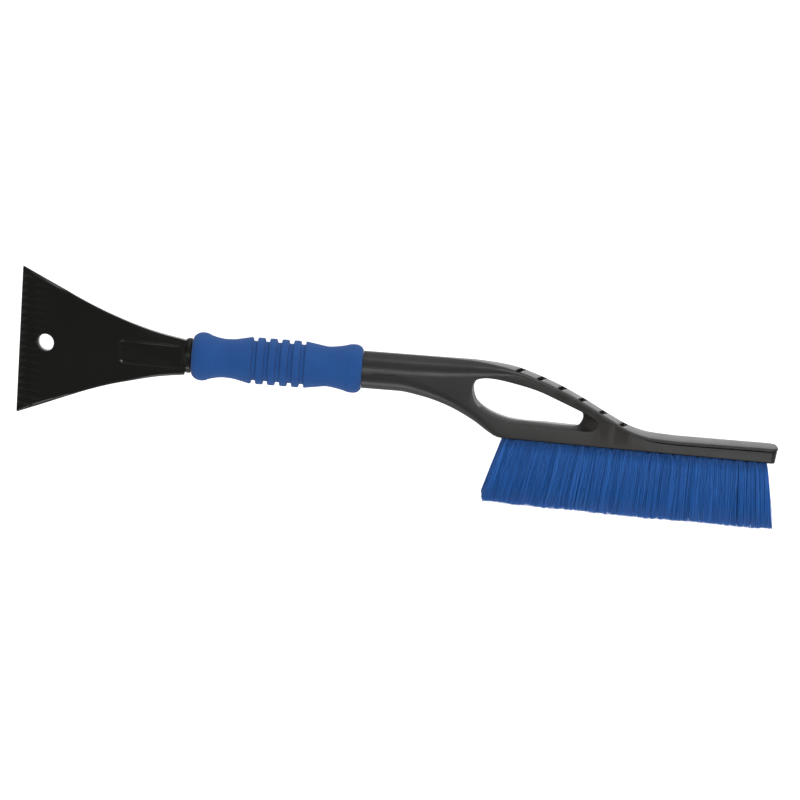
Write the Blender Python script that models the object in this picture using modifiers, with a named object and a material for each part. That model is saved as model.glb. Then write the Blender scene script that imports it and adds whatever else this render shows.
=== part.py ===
"""Windshield ice scraper with a snow brush.

A flared scraper head plugs into the end of a moulded handle and is held by a cross pin. A foam
sleeve covers that joint. The handle opens into a finger loop and runs out into a brush block,
whose holes hold columns of bristle tufts.

Units are metres and +Z is up. The tool lies on its side: +X runs from the scraper edge to the
brush tip, +Y points to the back of the handle, the bristles point to -Y, and the thickest part of
the sleeve rests on z = 0. Inside the file every piece is drawn on the tool's own axis, where x = 0
is the shoulder that the sleeve butts against, and one empty carries that axis into place.
"""

import math

import bmesh
import bpy
from mathutils import Matrix, Vector

MM = 0.001
FIT = 0.3 * MM  # gap between pieces that touch
OVERRUN = 4 * MM  # how far a cutter runs past the face it cuts
WELD = 0.00001  # points this close in a loft are one point

# Tube, spigot and the joint under the sleeve
TUBE_RADIUS = 14.4 * MM
SHOULDER = 2.6 * MM  # step from the tube down to the spigot that the sleeve butts against
SPIGOT_RADIUS = TUBE_RADIUS - SHOULDER
SPIGOT_WALL = 2.3 * MM
BORE_RADIUS = SPIGOT_RADIUS - SPIGOT_WALL
BORE_DEPTH = 118 * MM
TANG_LENGTH = 45 * MM
PIN_RADIUS = 2 * MM
PIN_FROM_COLLAR = 22 * MM

# Foam sleeve
GRIP_LENGTH = 130.6 * MM
FOAM_WALL = 3.1 * MM  # at the two waists
GRIP_WAIST = SPIGOT_RADIUS + FOAM_WALL
GRIP_BULGE = 3.8 * MM  # how far the end bulges stand out from the waists
GRIP_RADIUS = GRIP_WAIST + GRIP_BULGE
GRIP_RING = 3.1 * MM  # how far the rings between the grooves stand out
GRIP_RING_RADIUS = GRIP_WAIST + GRIP_RING
GROOVE_COUNT = 5
GROOVE_START = 45.4 * MM  # from the scraper end of the sleeve
GROOVE_PITCH = 9.2 * MM
GROOVE_WIDTH = 4.4 * MM
GROOVE_DEPTH = 2.8 * MM

# Scraper head
HEAD_LENGTH = 130 * MM
EDGE_WIDTH = 115 * MM
EDGE_THICKNESS = 2.2 * MM
COLLAR_LENGTH = 4 * MM
COLLAR_STEP = 1.1 * MM
NECK_WIDTH = 2 * (TUBE_RADIUS - COLLAR_STEP)
NECK_THICKNESS = 21 * MM
BLADE_THICKNESS = 9.2 * MM
BLADE_DROP = 10.8 * MM  # how far the blade bends towards the ground side
HANG_HOLE_RADIUS = 6.6 * MM
HANG_HOLE_RIM = 1.0 * MM
HANG_HOLE_FROM_EDGE = 21 * MM
RIB_COUNT = 19
RIB_PITCH = 5.5 * MM
RIB_WIDTH = 2.6 * MM
RIB_HEIGHT = 0.8 * MM
RIB_LENGTH = 21 * MM
RIB_EDGE = 1.4 * MM  # least distance from a rib to the flared edge beside it
POCKET_WIDTH = 19 * MM
POCKET_LENGTH = 51 * MM
POCKET_DEPTH = 2.2 * MM
POCKET_DRAFT = 1.6 * MM
POCKET_CORNER = 5 * MM
POCKET_WALL = 1 * MM  # plastic left between a hollow and the collar
POCKET_RUNS = 6

# Brush block and its tufts
BRUSH_START = 112 * MM  # from the shoulder to where the bristle face starts
BRUSH_DROP = 43 * MM  # from the tube's axis down to the bristle face there
BRUSH_TILT = math.radians(0.9)
LEVEL_RUN = 133 * MM  # from the start of the brush to where the back of the block runs level
BLOCK_FLOOR = 2.7 * MM  # plastic left between a tuft hole and the block's back there
FIRST_TUFT = 3.2 * MM
TIP_MARGIN = 10 * MM
TUFT_COLUMNS = 22
TUFT_ROWS = 4
TUFT_PITCH = 9.4 * MM
TUFT_RADIUS = 1.7 * MM
ROW_WEB = 0.8 * MM  # plastic left between the holes of two rows
ROW_PITCH = 2 * (TUFT_RADIUS + FIT) + ROW_WEB
BLOCK_SIDE = 2.4 * MM  # plastic left outside the outer rows
TUFT_HOLE_DEPTH = 8 * MM
TUFT_SIDES = 8
BRISTLE_LENGTH = 52.0 * MM
FAN_START = 10.2 * MM  # how far the first column leans out over its length
FAN_END = 6.4 * MM
FAN_DEPTH = 17.6 * MM  # half the brush's depth at the tips
TIP_OVERLAP = 0.4 * MM  # how far one column's tufts run into each other at the tips

# Back strip of the handle and its slots
STRIP_THICKNESS = 2.2 * MM
STRIP_STEP = 1.2 * MM
SLOT_COUNT = 6
SLOT_FIRST = 9 * MM  # from the start of the brush, along the tool
SLOT_PITCH = 16.4 * MM
SLOT_LENGTH = 22.5 * MM
SLOT_WIDTH = 4.2 * MM
SLOT_DEPTH = 5 * MM
SLOT_SLANT = math.radians(-17)
BLOCK_TIP_RADIUS = 5 * MM
BLOCK_TIP_LEAN = 1.5 * MM

# Finger loop: its outline at mid-depth as a distance in mm from the brush's start and a share of
# the brush's drop, and how far each point is pulled to reach the side face
LOOP_OUTLINE = (
    (-25.7, -0.154, 0), (-23.9, -0.008, 0), (-19.1, 0.046, 0), (-10.2, 0.05, 0), (4.6, -0.009, 0),
    (22.6, -0.127, 0), (41, -0.27, 0), (52.2, -0.372, 0.15), (58.1, -0.446, 0.65), (59.8, -0.535, 1),
    (58.6, -0.637, 1), (55.3, -0.707, 0.8), (45.4, -0.718, 0.3), (31.3, -0.706, 0), (16.2, -0.698, 0),
    (1.8, -0.67, 0), (-12.5, -0.557, 0), (-22.3, -0.381, 0),
)
LOOP_DRAFT = 1.8 * MM
LOOP_CORNER_REACH = 12 * MM
LOOP_CORNER_DROP = 2.4 * MM
LOOP_WEB = 1.8 * MM  # thickness of the web left at mid-depth in the corner

# Handle sections along the tool. In these tables each pair is a distance from the shoulder and a
# size, in mm; the names in capitals are the driving sizes above in the same unit.
TUBE = TUBE_RADIUS / MM
FACE = -BRUSH_DROP / MM
START = BRUSH_START / MM
LEVEL = START + LEVEL_RUN / MM
BACK = FACE - (LEVEL - START) * math.tan(BRUSH_TILT) + (TUFT_HOLE_DEPTH + BLOCK_FLOOR) / MM
HALF = ((TUFT_ROWS - 1) / 2 * ROW_PITCH + TUFT_RADIUS + FIT + BLOCK_SIDE) / MM
FALL = TUBE - BACK
SINK = -TUBE - FACE
TOP_LINE = (
    (0, TUBE), (START - 52, TUBE + 0.1), (START - 29, TUBE - 0.1), (START - 15, TUBE - 1.1),
    (START + 3, TUBE - 0.076 * FALL), (START + 22, TUBE - 0.188 * FALL), (START + 42, TUBE - 0.344 * FALL),
    (START + 62, TUBE - 0.539 * FALL), (START + 81, TUBE - 0.746 * FALL), (LEVEL - 34, BACK + 4.2),
    (LEVEL - 20, BACK + 1.1), (LEVEL, BACK),
)
BOTTOM_LINE = (
    (0, -TUBE), (START - 84, -TUBE), (START - 64, -TUBE - 0.091 * SINK), (START - 45, -TUBE - 0.276 * SINK),
    (START - 25, -TUBE - 0.601 * SINK), (START - 11, FACE + 2.7), (START - 6, FACE + 0.5), (START, FACE),
)
TOP_DEPTH = (
    (0, TUBE), (START - 82, TUBE), (START - 52, TUBE - 0.5), (START - 22, TUBE - 0.9),
    (START + 18, HALF + 1.6), (START + 88, HALF + 1.6), (START + 138, HALF + 0.6), (START + 211, HALF - 0.6),
)
BOTTOM_DEPTH = (
    (0, TUBE), (START - 82, TUBE), (START - 52, TUBE - 1), (START - 22, TUBE - 2), (START, HALF + 0.2),
    (START + 88, HALF), (START + 211, HALF - 1),
)
TOP_ROUND = (
    (0, TUBE), (START - 82, TUBE), (START - 52, TUBE - 1), (START - 22, 10), (START - 7, 6.5),
    (START + 8, 3.6), (START + 28, 2.2), (START + 73, 1.8), (START + 211, 1.4),
)
BOTTOM_ROUND = (
    (0, TUBE), (START - 84, TUBE), (START - 64, TUBE - 1.9), (START - 45, TUBE - 3.9), (START - 25, 8.5),
    (START - 11, 6), (START - 5, 3), (START, 1.4),
)
STEP_GROWTH = ((0, 0), (START + 18, 0), (START + 56, 1))
HANDLE_STATIONS = (
    0, START / 2 - 42, START - 84, START - 74, START - 64, START - 54, START - 45, START - 35, START - 25,
    START - 18, START - 11, START - 8, START - 5, START, START + 12, START + 22, START + 32, START + 42,
    START + 52, START + 62, START + 72, START + 81, START + 90, LEVEL - 34, LEVEL - 27, LEVEL - 20,
    LEVEL - 10, LEVEL,
)

BLACK_SATIN = ((0.034, 0.034, 0.036, 1), 0.42, 0)
BLACK_GLOSS = ((0.011, 0.011, 0.010, 1), 0.16, 0)
BLUE_FOAM = ((0.030, 0.105, 0.310, 1), 0.85, 0)
BLUE_BRISTLE = ((0.020, 0.085, 0.290, 1), 0.5, 0)
STEEL = ((0.55, 0.56, 0.58, 1), 0.3, 1)


def smooth(points, x):
    """A smooth curve through points, which never swings past them."""
    if x <= points[0][0]:
        return points[0][1]
    if x >= points[-1][0]:
        return points[-1][1]
    slopes = [(b[1] - a[1]) / (b[0] - a[0]) for a, b in zip(points, points[1:])]
    tangents = [slopes[0]]
    for before, after in zip(slopes, slopes[1:]):
        same_way = before * after > 0
        tangents.append(2 * before * after / (before + after) if same_way else 0)
    tangents.append(slopes[-1])
    for i, (start, end) in enumerate(zip(points, points[1:])):
        if x <= end[0]:
            span = end[0] - start[0]
            t = (x - start[0]) / span
            value = start[1] * (1 + 2 * t) * (1 - t) ** 2 + end[1] * t * t * (3 - 2 * t)
            return value + span * t * (1 - t) * (tangents[i] * (1 - t) - tangents[i + 1] * t)


def closed_curve(points, steps):
    """A closed smooth curve through points, as steps points for each of them."""
    curve = []
    count = len(points)
    for i in range(count):
        a, b, c, d = (Vector(points[(i + k - 1) % count]) for k in range(4))
        for step in range(steps):
            t = step / steps
            curve.append(
                0.5 * (2 * b + (c - a) * t + (2 * a - 5 * b + 4 * c - d) * t**2 + (3 * b - a - 3 * c + d) * t**3)
            )
    return curve


def collection(name):
    made = bpy.data.collections.new(name)
    bpy.context.scene.collection.children.link(made)
    return made


def empty(name, location, parent=None):
    made = bpy.data.objects.new(name, None)
    made.empty_display_size = 0.02
    made.location = location
    made.parent = parent
    PARTS.objects.link(made)
    return made


def add(name, mesh, group, parent):
    made = bpy.data.objects.new(name, mesh)
    made.parent = parent
    group.objects.link(made)
    if group == CUTTERS:
        made.hide_render = True
        made.display_type = "WIRE"
    return made


def finish(piece, look, sharp=35):
    """Give a piece its own material and smooth shading, with edges sharper than sharp kept."""
    colour, roughness, metallic = look
    material = bpy.data.materials.new(piece.name)
    material.use_nodes = True
    shader = material.node_tree.nodes["Principled BSDF"]
    shader.inputs["Base Color"].default_value = colour
    shader.inputs["Roughness"].default_value = roughness
    shader.inputs["Metallic"].default_value = metallic
    piece.data.materials.append(material)
    piece.data.shade_smooth()
    piece.data.set_sharp_from_angle(angle=math.radians(sharp))


def mesh_of(name, shape):
    bmesh.ops.recalc_face_normals(shape, faces=shape.faces)
    mesh = bpy.data.meshes.new(name)
    shape.to_mesh(mesh)
    shape.free()
    return mesh


def loft_into(shape, rings):
    """Add to shape the closed solid whose cross-sections are rings."""
    rows = [[shape.verts.new(point) for point in ring] for ring in rings]
    for one, two in zip(rows, rows[1:]):
        for i in range(len(one)):
            j = (i + 1) % len(one)
            shape.faces.new((one[i], one[j], two[j], two[i]))
    shape.faces.new(rows[0])
    shape.faces.new(rows[-1])


def loft(name, rings):
    shape = bmesh.new()
    loft_into(shape, rings)
    bmesh.ops.remove_doubles(shape, verts=shape.verts, dist=WELD)
    return mesh_of(name, shape)


def rod(name, radius, length, sides, place):
    """A round bar centred on place, whose own Z is its axis."""
    shape = bmesh.new()
    bmesh.ops.create_cone(
        shape, cap_ends=True, segments=sides, radius1=radius, radius2=radius, depth=length, matrix=place
    )
    return mesh_of(name, shape)


def along_x(start, end):
    """The place of a bar that lies on the tool's axis from start to end."""
    return Matrix.Translation(((start + end) / 2, 0, 0)) @ Matrix.Rotation(math.pi / 2, 4, "Y")


def boolean(piece, other, operation):
    modifier = piece.modifiers.new(other.name, "BOOLEAN")
    modifier.operation = operation
    modifier.solver = "EXACT"
    modifier.object = other


def arc(centre, radius, start, end, steps):
    """Points on a round corner, from one angle to another, in degrees."""
    turn = [math.radians(start + (end - start) * i / steps) for i in range(steps + 1)]
    return [(centre[0] + radius * math.cos(a), centre[1] + radius * math.sin(a)) for a in turn]


def brush_face(x):
    """Height of the bristle face at x along the tool."""
    return -BRUSH_DROP - (x - BRUSH_START) * math.tan(BRUSH_TILT)


def at(points, x):
    """A table in mm read at x."""
    return smooth(points, x / MM) * MM


def section(x, squeeze, lean):
    """The handle's section at x: a rounded back strip, a step under it, and drafted sides."""
    top = at(TOP_LINE, x)
    bottom = brush_face(x) if x > BRUSH_START else at(BOTTOM_LINE, x)
    deep = at(TOP_DEPTH, x) - squeeze
    shallow = at(BOTTOM_DEPTH, x) - squeeze
    top_round = min(at(TOP_ROUND, x), deep)
    bottom_round = min(at(BOTTOM_ROUND, x), shallow, (top - bottom) - top_round)
    step = STRIP_STEP * smooth(STEP_GROWTH, x / MM)
    under = top - max(STRIP_THICKNESS, top_round)
    side = arc((deep - top_round, top - top_round), top_round, 90, 0, 5)
    side += [(deep, under), (deep - step, under)]
    side += arc((shallow - bottom_round, bottom + bottom_round), bottom_round, 0, -90, 5)
    outline = side + [(-z, y) for z, y in reversed(side)]
    return [(x - lean * (top - y) / (top - bottom), y, z) for z, y in outline]


def handle_rings(tip):
    """Sections from the shoulder to the block's rounded tip."""
    last_flat = tip - BLOCK_TIP_RADIUS
    stations = [x * MM for x in HANDLE_STATIONS]
    rings = [section(x, 0, 0) for x in stations]
    runs = 6
    for i in range(1, runs):
        rings.append(section(stations[-1] + (last_flat - stations[-1]) * i / runs, 0, 0))
    for angle in (0, 30, 60, 80):
        turn = math.radians(angle)
        x = last_flat + BLOCK_TIP_RADIUS * math.sin(turn)
        rings.append(section(x, BLOCK_TIP_RADIUS * (1 - math.cos(turn)), BLOCK_TIP_LEAN * math.sin(turn)))
    return rings


def loop_cutter(parent):
    """The finger hole: narrowest at mid-depth, and scooped out at its sharp corner."""
    middle = [(BRUSH_START + x * MM, y * BRUSH_DROP) for x, y, pull in LOOP_OUTLINE]
    centre = sum((Vector(point) for point in middle), Vector((0, 0))) / len(middle)
    outer = []
    for (x, y), (_, _, pull) in zip(middle, LOOP_OUTLINE):
        away = (Vector((x, y)) - centre).normalized() * LOOP_DRAFT * (1 - pull)
        outer.append((x + away.x + pull * LOOP_CORNER_REACH, y + away.y - pull * LOOP_CORNER_DROP))
    face = at(BOTTOM_DEPTH, BRUSH_START)
    levels = ((face + OVERRUN, outer), (face, outer), (LOOP_WEB / 2, middle))
    levels += tuple((-z, outline) for z, outline in reversed(levels))
    rings = [[(p.x, p.y, z) for p in closed_curve(outline, 3)] for z, outline in levels]
    return add("loop_cutter", loft("loop_cutter", rings), CUTTERS, parent)


def slot_cutter(parent):
    """Slanted slots across the back strip, each square to the surface where it lies."""
    shape = bmesh.new()
    for i in range(SLOT_COUNT):
        x = BRUSH_START + SLOT_FIRST + i * SLOT_PITCH
        ahead = 1 * MM
        slope = math.atan2(at(TOP_LINE, x + ahead) - at(TOP_LINE, x - ahead), 2 * ahead)
        place = Matrix.Translation((x, at(TOP_LINE, x), 0)) @ Matrix.Rotation(slope, 4, "Z")
        place = place @ Matrix.Rotation(SLOT_SLANT, 4, "Y")
        half = SLOT_LENGTH / 2 - SLOT_WIDTH / 2
        outline = arc((0, half), SLOT_WIDTH / 2, 0, 180, 4) + arc((0, -half), SLOT_WIDTH / 2, 180, 360, 4)
        rings = [[place @ Vector((a, y, b)) for a, b in outline] for y in (-SLOT_DEPTH, OVERRUN)]
        loft_into(shape, rings)
    return add("slot_cutter", mesh_of("slot_cutter", shape), CUTTERS, parent)


def tuft_place(column, row):
    """Where a tuft stands on the bristle face, along the block and across it."""
    return FIRST_TUFT + column * TUFT_PITCH, (row - (TUFT_ROWS - 1) / 2) * ROW_PITCH


def tuft_ring(x, y, z, half_x, half_z):
    turn = [2 * math.pi * (i + 0.5) / TUFT_SIDES for i in range(TUFT_SIDES)]
    flat = 1 / math.cos(math.pi / TUFT_SIDES)
    return [(x + half_x * flat * math.cos(a), y, z + half_z * flat * math.sin(a)) for a in turn]


def tuft_rings(column, row):
    """A tuft from the bottom of its hole to its fanned-out tips, seen from the brush frame."""
    x, z = tuft_place(column, row)
    share = column / (TUFT_COLUMNS - 1)
    lean = FAN_END * share - FAN_START * (1 - share)
    tip_pitch = TUFT_PITCH + (FAN_START + FAN_END) / (TUFT_COLUMNS - 1)
    row_width = 2 * FAN_DEPTH / TUFT_ROWS
    tip_z = (row - (TUFT_ROWS - 1) / 2) * row_width
    reach = math.sqrt(BRISTLE_LENGTH**2 - lean**2)
    inside = TUFT_HOLE_DEPTH - FIT
    return [
        tuft_ring(x, inside, z, TUFT_RADIUS, TUFT_RADIUS),
        tuft_ring(x, -FIT, z, TUFT_RADIUS, TUFT_RADIUS),
        tuft_ring(x + lean, -reach, tip_z, tip_pitch / 2 - FIT / 2, row_width / 2 + TIP_OVERLAP / 2),
    ]


def tuft_hole_cutter(parent):
    shape = bmesh.new()
    for column in range(TUFT_COLUMNS):
        for row in range(TUFT_ROWS):
            x, z = tuft_place(column, row)
            wide = TUFT_RADIUS + FIT
            loft_into(shape, [tuft_ring(x, y, z, wide, wide) for y in (TUFT_HOLE_DEPTH, -OVERRUN)])
    return add("tuft_hole_cutter", mesh_of("tuft_hole_cutter", shape), CUTTERS, parent)


def make_handle(axis, brush, tip):
    handle = add("handle", loft("handle", handle_rings(tip)), PARTS, axis)
    start = -GRIP_LENGTH - FIT
    sides = 24
    spigot = rod("spigot", SPIGOT_RADIUS, 6 * MM - start, sides, along_x(start, 6 * MM))
    bore = rod("bore", BORE_RADIUS, BORE_DEPTH + OVERRUN, sides, along_x(start - OVERRUN, start + BORE_DEPTH))
    boolean(handle, add("spigot_form", spigot, CUTTERS, axis), "UNION")
    boolean(handle, add("bore_cutter", bore, CUTTERS, axis), "DIFFERENCE")
    boolean(handle, pin_cutter("handle_pin_cutter", axis), "DIFFERENCE")
    boolean(handle, loop_cutter(axis), "DIFFERENCE")
    boolean(handle, slot_cutter(axis), "DIFFERENCE")
    boolean(handle, tuft_hole_cutter(brush), "DIFFERENCE")
    finish(handle, BLACK_SATIN)


def pin_place():
    return Matrix.Translation((PIN_FROM_COLLAR - GRIP_LENGTH, 0, 0))


def pin_cutter(name, parent):
    mesh = rod(name, PIN_RADIUS + FIT, 2 * (SPIGOT_RADIUS + OVERRUN), 12, pin_place())
    return add(name, mesh, CUTTERS, parent)


def make_head_pin(axis):
    length = 2 * (SPIGOT_RADIUS - FIT)
    finish(add("head_pin", rod("head_pin", PIN_RADIUS, length, 12, pin_place()), PARTS, axis), STEEL)


def blade_tables():
    """Half width, half thickness and drop of the head, by distance from its collar."""
    edge = HEAD_LENGTH
    width, neck, thick = EDGE_WIDTH / 2, NECK_WIDTH / 2, BLADE_THICKNESS / 2
    flare = width - neck
    widths = (
        (0, neck), (0.16 * edge, neck + 0.08 * flare), (0.3 * edge, neck + 0.185 * flare),
        (0.45 * edge, neck + 0.32 * flare), (0.6 * edge, neck + 0.485 * flare),
        (0.74 * edge, neck + 0.665 * flare), (edge, width),
    )
    bevel = edge - RIB_LENGTH * 0.45
    depths = (
        (0, NECK_THICKNESS / 2), (0.2 * edge, NECK_THICKNESS / 2 - 0.8 * MM), (0.45 * edge, thick + 1.6 * MM),
        (0.7 * edge, thick + 0.3 * MM), (edge - HANG_HOLE_FROM_EDGE, thick), (bevel, thick - 1 * MM),
        (edge, EDGE_THICKNESS / 2),
    )
    drops = ((0, 0), (0.28 * edge, 0), (0.45 * edge, -0.19 * BLADE_DROP), (edge, -BLADE_DROP))
    return widths, depths, drops


def head_ring(distance, start):
    widths, depths, drops = blade_tables()
    wide, thick, drop = (smooth(table, distance) for table in (widths, depths, drops))
    round_off = min(thick * 0.9, 1.5 * MM + max(0, 0.35 * HEAD_LENGTH - distance) * 0.2)
    ring = []
    for across, up, first in ((1, 1, 0), (-1, 1, 90), (-1, -1, 180), (1, -1, 270)):
        corner = (across * (wide - round_off), up * (thick - round_off))
        ring += arc(corner, round_off, first, first + 90, 4)
    return [(start - distance, y, z + drop) for y, z in ring]


def blade_slope():
    """The blade's downward angle where the hang hole is."""
    drops = blade_tables()[2]
    hole = HEAD_LENGTH - HANG_HOLE_FROM_EDGE
    step = 1 * MM
    return hole, smooth(drops, hole), math.atan2(smooth(drops, hole - step) - smooth(drops, hole + step), 2 * step)


def rib_form(start, parent):
    """Raised ribs on the blade's upper face, which run out to the edge and break ice up."""
    widths, depths, drops = blade_tables()
    shape = bmesh.new()
    for i in range(RIB_COUNT):
        y = (i - (RIB_COUNT - 1) / 2) * RIB_PITCH
        length = RIB_LENGTH
        while smooth(widths, HEAD_LENGTH - length) < abs(y) + RIB_WIDTH / 2 + RIB_EDGE:
            length -= 1 * MM
        rings = []
        for share, height in ((0, 0.75), (0.45, 1), (1, 0)):
            distance = HEAD_LENGTH - 0.6 * MM - length * share
            face = smooth(depths, distance) + smooth(drops, distance)
            crest = face + RIB_HEIGHT * height - (0.3 * MM if height == 0 else 0)
            root = face - 0.8 * MM
            outline = ((-1, root), (-0.9, crest - 0.2 * MM), (-0.4, crest), (0.4, crest), (0.9, crest - 0.2 * MM), (1, root))
            rings.append([(start - distance, y + side * RIB_WIDTH / 2, z) for side, z in outline])
        loft_into(shape, rings)
    return add("rib_form", mesh_of("rib_form", shape), CUTTERS, parent)


def pocket_cutter(name, side, start, parent):
    """A hollow of even depth in one face of the neck, with drafted walls and two round corners."""
    depths, drops = blade_tables()[1:]
    near = start - POCKET_WALL
    rings = []
    for height, narrower in ((-POCKET_DEPTH, POCKET_DRAFT), (OVERRUN, 0)):
        wide = POCKET_WIDTH / 2 - narrower
        corner = POCKET_CORNER - narrower
        far = near - POCKET_LENGTH + POCKET_CORNER
        run = near - narrower - far
        side_line = [(near - narrower - run * step / POCKET_RUNS, wide) for step in range(POCKET_RUNS)]
        outline = side_line + arc((far, wide - corner), corner, 90, 180, 4)
        outline += arc((far, corner - wide), corner, 180, 270, 4)
        outline += [(x, -y) for x, y in reversed(side_line)]
        rings.append([
            (x, y, side * (smooth(depths, start - x) + height) + smooth(drops, start - x)) for x, y in outline
        ])
    return add(name, loft(name, rings), CUTTERS, parent)


def hang_hole_cutter(start, parent):
    """The hang hole, square to the blade, with a chamfered rim on both faces."""
    hole, drop, slope = blade_slope()
    place = Matrix.Translation((start - hole, 0, drop)) @ Matrix.Rotation(-slope, 4, "Y")
    thick = BLADE_THICKNESS / 2
    rings = []
    levels = (
        (thick + OVERRUN, HANG_HOLE_RIM + OVERRUN), (thick - HANG_HOLE_RIM, 0),
        (HANG_HOLE_RIM - thick, 0), (-thick - OVERRUN, HANG_HOLE_RIM + OVERRUN),
    )
    for height, wider in levels:
        circle = arc((0, 0), HANG_HOLE_RADIUS + wider, 0, 360 - 15, 23)
        rings.append([place @ Vector((a, b, height)) for a, b in circle])
    return add("hang_hole_cutter", loft("hang_hole_cutter", rings), CUTTERS, parent)


def make_scraper_head(axis):
    collar_end = -GRIP_LENGTH - 2 * FIT
    start = collar_end - COLLAR_LENGTH
    runs = 20
    rings = [head_ring(HEAD_LENGTH * i / runs, start) for i in range(runs + 1)]
    head = add("scraper_head", loft("scraper_head", rings), PARTS, axis)
    sides = 24
    inner = start - 3 * MM
    collar = rod("collar", TUBE_RADIUS, collar_end - start, sides, along_x(start, collar_end))
    tang_end = collar_end + TANG_LENGTH
    tang = rod("tang", BORE_RADIUS - FIT, tang_end - inner, sides, along_x(inner, tang_end))
    boolean(head, add("collar_form", collar, CUTTERS, axis), "UNION")
    boolean(head, add("tang_form", tang, CUTTERS, axis), "UNION")
    boolean(head, rib_form(start, axis), "UNION")
    boolean(head, pocket_cutter("upper_pocket_cutter", 1, start, axis), "DIFFERENCE")
    boolean(head, pocket_cutter("lower_pocket_cutter", -1, start, axis), "DIFFERENCE")
    boolean(head, hang_hole_cutter(start, axis), "DIFFERENCE")
    boolean(head, pin_cutter("head_pin_cutter", axis), "DIFFERENCE")
    finish(head, BLACK_GLOSS)


def grip_profile():
    """The sleeve's outer side from its scraper end, as distance along it and radius."""
    bulge, waist, ring = GRIP_RADIUS, GRIP_WAIST, GRIP_RING_RADIUS
    last = GROOVE_START + (GROOVE_COUNT - 1) * GROOVE_PITCH + GROOVE_WIDTH
    outline = [(0, waist - 1.4 * MM), (1.4 * MM, waist + 1.2 * MM), (3.6 * MM, bulge - 1 * MM)]
    outline += [(6.8 * MM, bulge - 0.1 * MM), (9.6 * MM, bulge - 0.2 * MM), (14 * MM, bulge - 1.8 * MM)]
    outline += [(19.5 * MM, waist + 0.6 * MM), (25 * MM, waist), (31 * MM, waist + 0.3 * MM)]
    outline += [(38 * MM, waist + 1.6 * MM)]
    for i in range(GROOVE_COUNT):
        left = GROOVE_START + i * GROOVE_PITCH
        outline += [(left, ring), (left + 0.2 * GROOVE_WIDTH, ring - GROOVE_DEPTH)]
        outline += [(left + 0.8 * GROOVE_WIDTH, ring - GROOVE_DEPTH), (left + GROOVE_WIDTH, ring)]
    end = GRIP_LENGTH - FIT
    outline += [(last + (end - last) * 0.22, waist + 1.5 * MM), (last + (end - last) * 0.4, waist + 0.5 * MM)]
    outline += [(end - 20 * MM, waist + 1.2 * MM), (end - 14 * MM, bulge - 1.4 * MM), (end - 9 * MM, bulge - 0.1 * MM)]
    outline += [(end - 5.6 * MM, bulge), (end - 2.4 * MM, bulge - 0.9 * MM), (end - 0.8 * MM, bulge - 2.4 * MM)]
    outline += [(end, waist + 0.2 * MM)]
    return outline


def make_foam_grip(axis):
    """The sleeve, turned about the tool's axis from a closed profile."""
    bore = SPIGOT_RADIUS + 1.5 * FIT
    profile = [(radius, x) for x, radius in reversed(grip_profile())]
    profile = profile + [(bore, 0), (bore, profile[0][1])]
    mesh = bpy.data.meshes.new("foam_grip")
    count = len(profile)
    edges = [(i, (i + 1) % count) for i in range(count)]
    mesh.from_pydata([(radius, 0, height) for radius, height in profile], edges, [])
    grip = add("foam_grip", mesh, PARTS, axis)
    grip.location = (-GRIP_LENGTH, 0, 0)
    grip.rotation_euler = (0, math.pi / 2, 0)
    turn = grip.modifiers.new("turn", "SCREW")
    turn.steps = 28
    turn.render_steps = 28
    turn.use_smooth_shade = True
    turn.use_merge_vertices = True
    turn.merge_threshold = 0.00001
    finish(grip, BLUE_FOAM)


def make_tuft_column(column, brush):
    """One column of tufts, which run into each other at their fanned-out tips."""
    name = f"tuft_column_{column + 1:02d}"
    piece = add(name, loft(name, tuft_rings(column, 0)), PARTS, brush)
    for row in range(1, TUFT_ROWS):
        form = f"{name}_form_{row + 1}"
        boolean(piece, add(form, loft(form, tuft_rings(column, row)), CUTTERS, brush), "UNION")
    finish(piece, BLUE_BRISTLE)


def brush_place():
    return Matrix.Translation((BRUSH_START, -BRUSH_DROP, 0)) @ Matrix.Rotation(-BRUSH_TILT, 4, "Z")


def extents(tip):
    """The tool's own box along X and Y, from the pieces that reach furthest."""
    rings = [tuft_rings(column, 0)[-1] for column in range(TUFT_COLUMNS)]
    tips = [brush_place() @ Vector(point) for ring in rings for point in ring]
    edge = -GRIP_LENGTH - 2 * FIT - COLLAR_LENGTH - HEAD_LENGTH
    right = max([tip] + [point.x for point in tips])
    return edge, right, min(point.y for point in tips), EDGE_WIDTH / 2


for old in list(bpy.data.objects):
    bpy.data.objects.remove(old, do_unlink=True)

PARTS = collection("windshield_ice_scraper")
CUTTERS = collection("cutters")

BLOCK_TIP = BRUSH_START + FIRST_TUFT + (TUFT_COLUMNS - 1) * TUFT_PITCH + TIP_MARGIN
LEFT, RIGHT, LOWEST, HIGHEST = extents(BLOCK_TIP)

TOOL_AXIS = empty("tool_axis", (-(LEFT + RIGHT) / 2, -(LOWEST + HIGHEST) / 2, GRIP_RADIUS))
BRUSH_FRAME = empty("brush_frame", (BRUSH_START, -BRUSH_DROP, 0), TOOL_AXIS)
BRUSH_FRAME.rotation_euler = (0, 0, -BRUSH_TILT)

make_handle(TOOL_AXIS, BRUSH_FRAME, BLOCK_TIP)
make_scraper_head(TOOL_AXIS)
make_head_pin(TOOL_AXIS)
make_foam_grip(TOOL_AXIS)
for index in range(TUFT_COLUMNS):
    make_tuft_column(index, BRUSH_FRAME)
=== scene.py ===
# %% [markdown]
# # A windshield scraper with a snow brush, modelled for its looks
#
# The tool is a black plastic handle with a finger loop and a brush block, a glossy scraper head
# pinned into the handle's tube, a blue foam sleeve over the joint, and 22 columns of blue tufts.
# A fixed frame gives every piece's place. Each step below models one piece by hand-style edits,
# gives it a finish, and lets it stand for the plain node that it replaces.

# %% Load the frame
import math
import random

import bmesh
import bpy
import numpy as np
from mathutils import Matrix, Vector


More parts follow.
